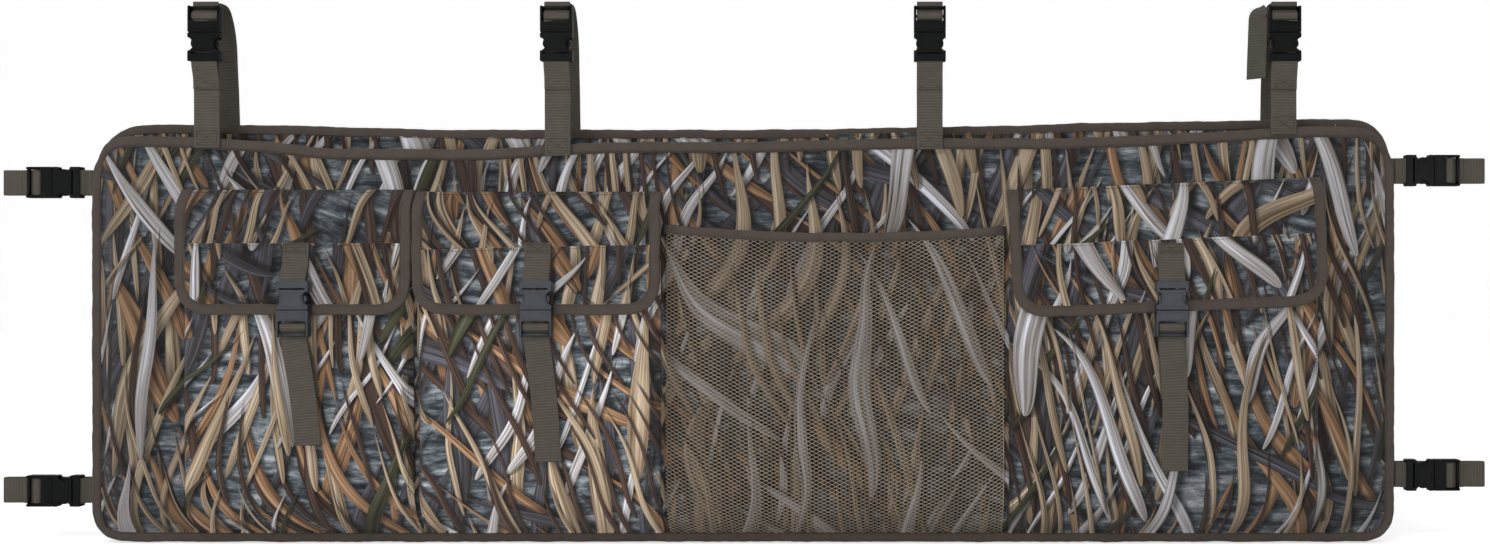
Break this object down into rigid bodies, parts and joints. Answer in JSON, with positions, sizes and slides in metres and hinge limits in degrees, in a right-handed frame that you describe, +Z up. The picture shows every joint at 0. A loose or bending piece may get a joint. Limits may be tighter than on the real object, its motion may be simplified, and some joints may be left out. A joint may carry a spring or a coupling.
{
  "type": "padded gun case organizer",
  "caption": "Long flat padded case, open along the top, with three buckled flap pockets, a mesh pocket, and webbing loops on its rim and ends, in reed camouflage",
  "frame": {"origin": "middle of the flat rear face, half way up the case", "axes": "+X along the case to the right as seen from the front, -Y out of the front towards the viewer, +Z up"},
  "size_m": [1.4964, 0.0784, 0.5365],
  "materials": {
    "camo_canvas": "matte printed polyester canvas",
    "foam": "closed-cell foam",
    "binding_tape": "matte woven tape",
    "webbing": "ribbed polypropylene webbing",
    "mesh": "open knit netting",
    "buckle": "moulded acetal, satin"
  },
  "bodies": {
    "root": {"back_cover": "camo_canvas", "front_cover": "camo_canvas", "back_lining": "camo_canvas", "front_lining": "camo_canvas", "back_foam": "foam", "front_foam": "foam", "body_binding": "binding_tape", "back_rim_binding": "binding_tape", "front_rim_binding": "binding_tape", "mesh_pocket": "mesh", "mesh_pocket_binding": "binding_tape", "pocket_left": "camo_canvas", "pocket_middle": "camo_canvas", "pocket_right": "camo_canvas", "pocket_strap_anchors": "webbing", "top_tabs": "webbing", "top_sockets": "buckle", "side_tabs": "webbing", "side_sockets": "buckle"},
    "flap_left": {"flap_left": "camo_canvas", "flap_binding_left": "binding_tape", "flap_strap_left": "webbing", "pocket_socket_left": "buckle"},
    "pocket_plug_left": {"pocket_plug_left": "buckle", "pocket_tail_left": "webbing"},
    "pocket_prong_1_left": {"pocket_prong_1_left": "buckle"},
    "pocket_prong_2_left": {"pocket_prong_2_left": "buckle"},
    "flap_middle": {"flap_middle": "camo_canvas", "flap_binding_middle": "binding_tape", "flap_strap_middle": "webbing", "pocket_socket_middle": "buckle"},
    "pocket_plug_middle": {"pocket_plug_middle": "buckle", "pocket_tail_middle": "webbing"},
    "pocket_prong_1_middle": {"pocket_prong_1_middle": "buckle"},
    "pocket_prong_2_middle": {"pocket_prong_2_middle": "buckle"},
    "flap_right": {"flap_right": "camo_canvas", "flap_binding_right": "binding_tape", "flap_strap_right": "webbing", "pocket_socket_right": "buckle"},
    "pocket_plug_right": {"pocket_plug_right": "buckle", "pocket_tail_right": "webbing"},
    "pocket_prong_1_right": {"pocket_prong_1_right": "buckle"},
    "pocket_prong_2_right": {"pocket_prong_2_right": "buckle"},
    "top_plug_1": {"top_plug_1": "buckle", "top_loop_1": "webbing"},
    "top_plug_2": {"top_plug_2": "buckle", "top_loop_2": "webbing"},
    "top_plug_3": {"top_plug_3": "buckle", "top_loop_3": "webbing"},
    "top_plug_4": {"top_plug_4": "buckle", "top_loop_4": "webbing"},
    "side_plug_upper_left": {"side_plug_upper_left": "buckle", "side_loop_upper_left": "webbing"},
    "side_plug_lower_left": {"side_plug_lower_left": "buckle", "side_loop_lower_left": "webbing"},
    "side_plug_upper_right": {"side_plug_upper_right": "buckle", "side_loop_upper_right": "webbing"},
    "side_plug_lower_right": {"side_plug_lower_right": "buckle", "side_loop_lower_right": "webbing"}
  },
  "joints": [
    {"name": "flap_left_lift", "type": "hinge", "parent": "root", "child": "flap_left", "pos_m": [-0.43325, -0.04925, 0.144], "axis": [-1, 0, 0], "range_deg": [0, 130]},
    {"name": "buckle_left_release", "type": "slide", "parent": "root", "child": "pocket_plug_left", "axis": [0, 0, -1], "range_m": [0, 0.028]},
    {"name": "prong_1_left_squeeze", "type": "hinge", "parent": "pocket_plug_left", "child": "pocket_prong_1_left", "pos_m": [-0.4386, -0.0734, 0.0251], "axis": [0, 1, 0], "range_deg": [0, 8], "stiffness_Nm_per_rad": 0.05},
    {"name": "prong_2_left_squeeze", "type": "hinge", "parent": "pocket_plug_left", "child": "pocket_prong_2_left", "pos_m": [-0.4194, -0.0734, 0.0251], "axis": [0, -1, 0], "range_deg": [0, 8], "stiffness_Nm_per_rad": 0.05},
    {"name": "flap_middle_lift", "type": "hinge", "parent": "root", "child": "flap_middle", "pos_m": [-0.19675, -0.04925, 0.142], "axis": [-1, 0, 0], "range_deg": [0, 130]},
    {"name": "buckle_middle_release", "type": "slide", "parent": "root", "child": "pocket_plug_middle", "axis": [0, 0, -1], "range_m": [0, 0.028]},
    {"name": "prong_1_middle_squeeze", "type": "hinge", "parent": "pocket_plug_middle", "child": "pocket_prong_1_middle", "pos_m": [-0.2036, -0.0734, 0.0251], "axis": [0, 1, 0], "range_deg": [0, 8], "stiffness_Nm_per_rad": 0.05},
    {"name": "prong_2_middle_squeeze", "type": "hinge", "parent": "pocket_plug_middle", "child": "pocket_prong_2_middle", "pos_m": [-0.1844, -0.0734, 0.0251], "axis": [0, -1, 0], "range_deg": [0, 8], "stiffness_Nm_per_rad": 0.05},
    {"name": "flap_right_lift", "type": "hinge", "parent": "root", "child": "flap_right", "pos_m": [0.417, -0.04925, 0.15], "axis": [-0.9991, 0, -0.0419], "range_deg": [0, 130]},
    {"name": "buckle_right_release", "type": "slide", "parent": "root", "child": "pocket_plug_right", "axis": [0, 0, -1], "range_m": [0, 0.028]},
    {"name": "prong_1_right_squeeze", "type": "hinge", "parent": "pocket_plug_right", "child": "pocket_prong_1_right", "pos_m": [0.4114, -0.0734, 0.0251], "axis": [0, 1, 0], "range_deg": [0, 8], "stiffness_Nm_per_rad": 0.05},
    {"name": "prong_2_right_squeeze", "type": "hinge", "parent": "pocket_plug_right", "child": "pocket_prong_2_right", "pos_m": [0.4306, -0.0734, 0.0251], "axis": [0, -1, 0], "range_deg": [0, 8], "stiffness_Nm_per_rad": 0.05},
    {"name": "top_buckle_1_release", "type": "slide", "parent": "root", "child": "top_plug_1", "axis": [0, 0, 1], "range_m": [0, 0.028]},
    {"name": "top_buckle_2_release", "type": "slide", "parent": "root", "child": "top_plug_2", "axis": [0, 0, 1], "range_m": [0, 0.028]},
    {"name": "top_buckle_3_release", "type": "slide", "parent": "root", "child": "top_plug_3", "axis": [0, 0, 1], "range_m": [0, 0.028]},
    {"name": "top_buckle_4_release", "type": "slide", "parent": "root", "child": "top_plug_4", "axis": [0, 0, 1], "range_m": [0, 0.028]},
    {"name": "side_buckle_upper_left_release", "type": "slide", "parent": "root", "child": "side_plug_upper_left", "axis": [-1, 0, 0], "range_m": [0, 0.028]},
    {"name": "side_buckle_lower_left_release", "type": "slide", "parent": "root", "child": "side_plug_lower_left", "axis": [-1, 0, 0], "range_m": [0, 0.028]},
    {"name": "side_buckle_upper_right_release", "type": "slide", "parent": "root", "child": "side_plug_upper_right", "axis": [1, 0, 0], "range_m": [0, 0.028]},
    {"name": "side_buckle_lower_right_release", "type": "slide", "parent": "root", "child": "side_plug_lower_right", "axis": [1, 0, 0], "range_m": [0, 0.028]}
  ],
  "couplings": [
    {"joint": "prong_2_left_squeeze", "follows": "prong_1_left_squeeze", "ratio": 1},
    {"joint": "prong_2_middle_squeeze", "follows": "prong_1_middle_squeeze", "ratio": 1},
    {"joint": "prong_2_right_squeeze", "follows": "prong_1_right_squeeze", "ratio": 1}
  ]
}
